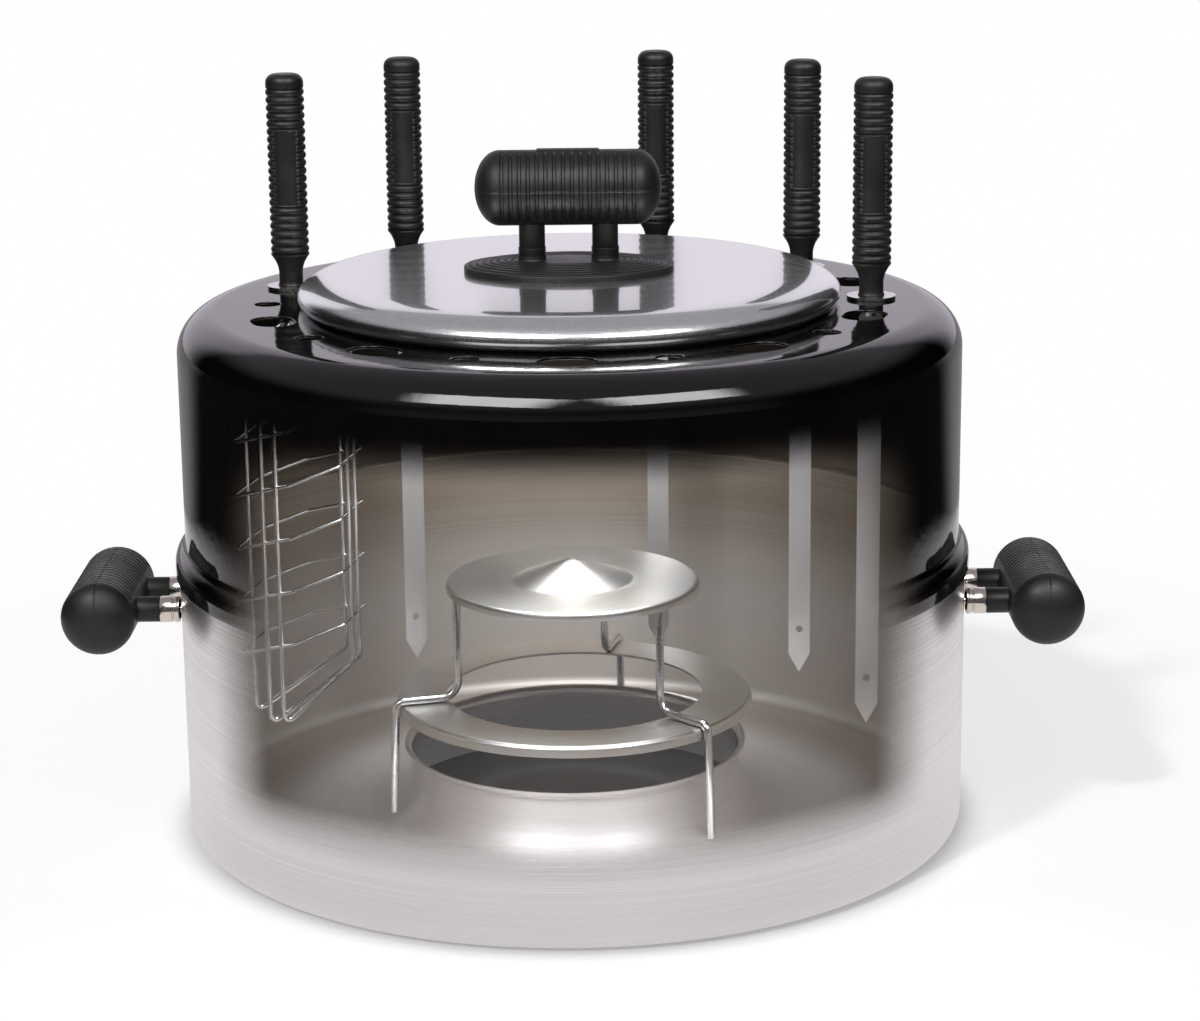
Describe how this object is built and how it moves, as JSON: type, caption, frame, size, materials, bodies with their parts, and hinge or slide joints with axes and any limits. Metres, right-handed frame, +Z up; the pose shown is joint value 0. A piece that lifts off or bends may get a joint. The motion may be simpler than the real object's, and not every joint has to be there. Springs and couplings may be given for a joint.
{
  "type": "stovetop grill",
  "caption": "Round stovetop grill: aluminium base pan over a burner, dark hood with loose polished lid, hanging skewers, wire basket and heat spreader",
  "frame": {"origin": "on the stove surface, on the grill's axis", "axes": "+X to the right through the two side grips, +Y to the back, +Z up along the axis of the round parts"},
  "size_m": [0.452, 0.3534, 0.3309],
  "materials": {
    "base_aluminium": "satin spun",
    "hood_enamel": "gloss enamel",
    "lid_polished": "mirror polished",
    "grip_bakelite": "matte moulded",
    "fastener_nickel": "nickel plated",
    "stainless_sheet": "satin pressed",
    "stainless_wire": "drawn wire",
    "guard_steel": "stamped",
    "blade_steel": "ground"
  },
  "bodies": {
    "base": {"base_pan": "base_aluminium", "side_grip_left": "grip_bakelite", "side_ferrules_left": "fastener_nickel", "side_washers_left": "fastener_nickel", "side_screws_left": "fastener_nickel", "side_grip_right": "grip_bakelite", "side_ferrules_right": "fastener_nickel", "side_washers_right": "fastener_nickel", "side_screws_right": "fastener_nickel"},
    "hood": {"hood": "hood_enamel"},
    "lid": {"lid_dish": "lid_polished", "lid_handle_plate": "grip_bakelite", "lid_grip": "grip_bakelite", "lid_washers": "fastener_nickel", "lid_screws": "fastener_nickel"},
    "spreader": {"spreader_disc": "stainless_sheet", "spreader_ring": "stainless_sheet", "spreader_legs": "stainless_wire"},
    "skewer_1_guard": {"skewer_1_guard": "guard_steel"},
    "skewer_1": {"skewer_1_grip": "grip_bakelite", "skewer_1_blade": "blade_steel"},
    "skewer_2_guard": {"skewer_2_guard": "guard_steel"},
    "skewer_2": {"skewer_2_grip": "grip_bakelite", "skewer_2_blade": "blade_steel"},
    "skewer_3_guard": {"skewer_3_guard": "guard_steel"},
    "skewer_3": {"skewer_3_grip": "grip_bakelite", "skewer_3_blade": "blade_steel"},
    "skewer_4_guard": {"skewer_4_guard": "guard_steel"},
    "skewer_4": {"skewer_4_grip": "grip_bakelite", "skewer_4_blade": "blade_steel"},
    "basket_guard": {"basket_guard": "guard_steel"},
    "basket": {"basket_grip": "grip_bakelite", "basket_cage": "stainless_wire"}
  },
  "joints": [
    {"name": "hood_lift", "type": "slide", "parent": "base", "child": "hood", "axis": [0, 0, 1], "range_m": [0, 0.18]},
    {"name": "lid_lift", "type": "slide", "parent": "hood", "child": "lid", "axis": [0, 0, 1], "range_m": [0, 0.15]},
    {"name": "spreader_lift", "type": "slide", "parent": "base", "child": "spreader", "axis": [0, 0, 1], "range_m": [0, 0.1]},
    {"name": "skewer_1_lift", "type": "slide", "parent": "hood", "child": "skewer_1_guard", "axis": [0, 0, 1], "range_m": [0, 0.2]},
    {"name": "skewer_1_turn", "type": "hinge", "parent": "skewer_1_guard", "child": "skewer_1", "pos_m": [0.1327, 0, 0.2343], "axis": [0, 0, 1], "continuous": true},
    {"name": "skewer_2_lift", "type": "slide", "parent": "hood", "child": "skewer_2_guard", "axis": [0, 0, 1], "range_m": [0, 0.2]},
    {"name": "skewer_2_turn", "type": "hinge", "parent": "skewer_2_guard", "child": "skewer_2", "pos_m": [0.10736, 0.078, 0.2343], "axis": [0, 0, 1], "continuous": true},
    {"name": "skewer_3_lift", "type": "slide", "parent": "hood", "child": "skewer_3_guard", "axis": [0, 0, 1], "range_m": [0, 0.2]},
    {"name": "skewer_3_turn", "type": "hinge", "parent": "skewer_3_guard", "child": "skewer_3", "pos_m": [0.04101, 0.12621, 0.2343], "axis": [0, 0, 1], "continuous": true},
    {"name": "skewer_4_lift", "type": "slide", "parent": "hood", "child": "skewer_4_guard", "axis": [0, 0, 1], "range_m": [0, 0.2]},
    {"name": "skewer_4_turn", "type": "hinge", "parent": "skewer_4_guard", "child": "skewer_4", "pos_m": [-0.078, 0.10736, 0.2343], "axis": [0, 0, 1], "continuous": true},
    {"name": "basket_lift", "type": "slide", "parent": "hood", "child": "basket_guard", "axis": [0, 0, 1], "range_m": [0, 0.008]},
    {"name": "basket_turn", "type": "hinge", "parent": "basket_guard", "child": "basket", "pos_m": [-0.12621, 0.04101, 0.2343], "axis": [0, 0, 1], "continuous": true}
  ]
}
